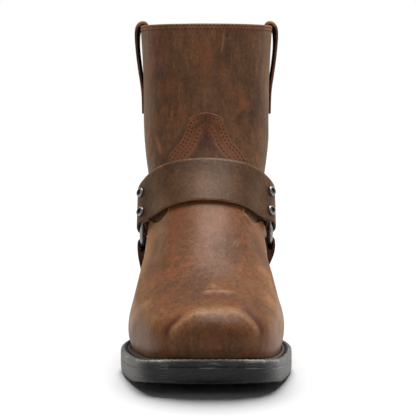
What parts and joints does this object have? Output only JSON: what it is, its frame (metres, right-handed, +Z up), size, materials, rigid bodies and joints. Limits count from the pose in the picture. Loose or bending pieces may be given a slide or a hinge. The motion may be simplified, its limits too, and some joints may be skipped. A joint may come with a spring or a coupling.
{
  "type": "harness boot",
  "caption": "Short pull-on leather western boot for the right foot, with a square toe, a ringed harness over the instep, pull loops at the collar and a stitched welt on a rubber sole.",
  "frame": {"origin": "middle of the boot's box on the floor", "axes": "+Z up, +Y from toe to heel, +X to the medial side of the right foot"},
  "size_m": [0.119, 0.306, 0.248],
  "materials": {
    "oiled_leather": "oiled, rubbed paler on the rims and folds",
    "vamp_leather": "oiled, redder where it is pulled over the last",
    "harness_leather": "matte, dark cut edges",
    "insole_board": "bare leather",
    "welt_rubber": "matte, scuffed along its rim",
    "sole_rubber": "matte, trimmed edge",
    "nickel_steel": "dull nickel plate"
  },
  "bodies": {
    "boot": {"upper": "oiled_leather", "vamp_tongue": "vamp_leather", "insole": "insole_board", "welt": "welt_rubber", "outsole": "sole_rubber", "heel": "sole_rubber", "harness_front_strap": "harness_leather", "harness_heel_strap": "harness_leather", "side_strap_lateral": "harness_leather", "side_strap_medial": "harness_leather", "pull_loop_lateral": "oiled_leather", "pull_loop_medial": "oiled_leather", "rivet_front_lateral_upper": "nickel_steel", "rivet_front_lateral_lower": "nickel_steel", "rivet_front_medial_upper": "nickel_steel", "rivet_front_medial_lower": "nickel_steel", "rivet_heel_lateral_upper": "nickel_steel", "rivet_heel_lateral_lower": "nickel_steel", "rivet_heel_medial_upper": "nickel_steel", "rivet_heel_medial_lower": "nickel_steel"},
    "ring_lateral": {"ring_lateral": "nickel_steel"},
    "ring_medial": {"ring_medial": "nickel_steel"}
  },
  "joints": [
    {"name": "ring_lateral_turn", "type": "hinge", "parent": "boot", "child": "ring_lateral", "pos_m": [-0.0476, 0.026, 0.09575], "axis": [1, 0, 0], "continuous": true},
    {"name": "ring_medial_turn", "type": "hinge", "parent": "boot", "child": "ring_medial", "pos_m": [0.0476, 0.026, 0.09725], "axis": [1, 0, 0], "continuous": true}
  ]
}
